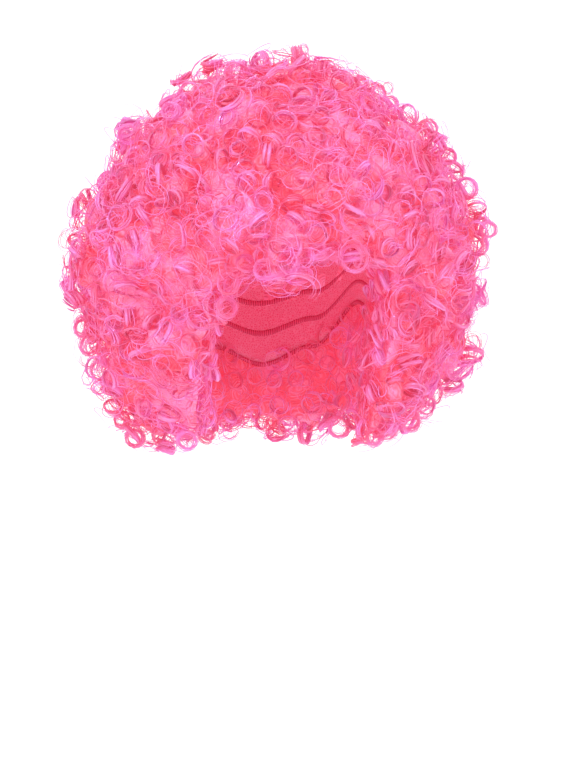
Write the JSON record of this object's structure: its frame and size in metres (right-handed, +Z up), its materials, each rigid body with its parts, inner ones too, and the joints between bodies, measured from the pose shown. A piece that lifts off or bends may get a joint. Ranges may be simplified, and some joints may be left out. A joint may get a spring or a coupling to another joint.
{
  "type": "afro wig",
  "caption": "Round curly afro wig: a soft net cap with rows of springy curled fibre sewn round it, open at the face, with a short fringe swept to one side and curls that hang past the ears and nape.",
  "frame": {"origin": "inside of the cap's top, where the crown of the head meets it", "axes": "+Z up, the face looks along -Y, the wearer's left is +X"},
  "size_m": [0.3011, 0.2941, 0.2856],
  "materials": {
    "cap_net": "matt stretch net",
    "curled_fibre": "glossy synthetic fibre, tightly curled"
  },
  "bodies": {
    "root": {"wig_cap": "cap_net", "crown_weft": "curled_fibre", "upper_weft": "curled_fibre", "middle_weft": "curled_fibre", "nape_weft": "curled_fibre", "fringe_weft": "curled_fibre"}
  },
  "joints": []
}
